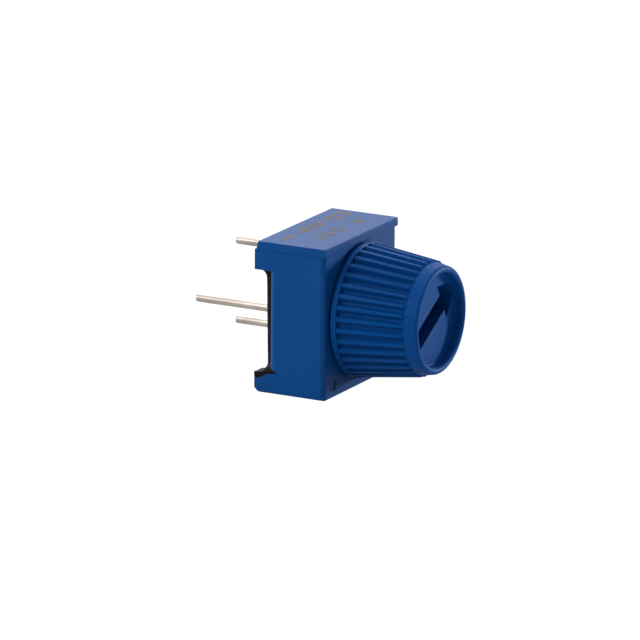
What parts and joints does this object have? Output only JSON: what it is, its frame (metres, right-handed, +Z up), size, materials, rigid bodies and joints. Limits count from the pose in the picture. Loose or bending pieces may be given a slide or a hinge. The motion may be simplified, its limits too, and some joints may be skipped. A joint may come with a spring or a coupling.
{
  "type": "trimmer potentiometer",
  "caption": "Square single-turn trimmer potentiometer with a ribbed, tapered finger knob, an arrow-shaped driver slot and round board pins at the back.",
  "frame": {"origin": "on the knob's axis, in the plane of the feet that meets the circuit board", "axes": "+Y out of the back, along the pins; -Y towards the knob; +Z up, as the part lies in the picture; +X to the right seen from the knob's side"},
  "size_m": [0.0096, 0.0156, 0.0096],
  "materials": {
    "blue_body": "moulded, satin",
    "blue_knob": "moulded, satin",
    "black_resin": "cast, semi-gloss",
    "tinned_pin": "bright tinned copper wire",
    "solder": "solder, satin",
    "ceramic": "fired alumina",
    "resistive_ink": "fired cermet film",
    "conductor_film": "fired silver-palladium film",
    "white_plastic": "moulded, satin",
    "seal_rubber": "silicone rubber",
    "spring_metal": "rolled spring alloy",
    "contact_wire": "precious-metal contact wire"
  },
  "bodies": {
    "stator": {"housing": "blue_body", "ceramic_substrate": "ceramic", "resistive_track": "resistive_ink", "collector_film": "conductor_film", "back_conductor": "conductor_film", "termination_film_1": "conductor_film", "termination_film_3": "conductor_film", "terminal_pin_1": "tinned_pin", "terminal_pin_2": "tinned_pin", "terminal_pin_3": "tinned_pin", "solder_fillet_1": "solder", "solder_fillet_2": "solder", "solder_fillet_3": "solder", "resin_seal": "black_resin"},
    "turning_part": {"rotor": "white_plastic", "knob": "blue_knob", "o_ring": "seal_rubber", "wiper_carrier": "spring_metal", "track_wires": "contact_wire", "collector_wires": "contact_wire"}
  },
  "joints": [
    {"name": "knob_turn", "type": "hinge", "parent": "stator", "child": "turning_part", "pos_m": [0, 0, 0], "axis": [0, 1, 0], "range_deg": [-125, 185]}
  ]
}
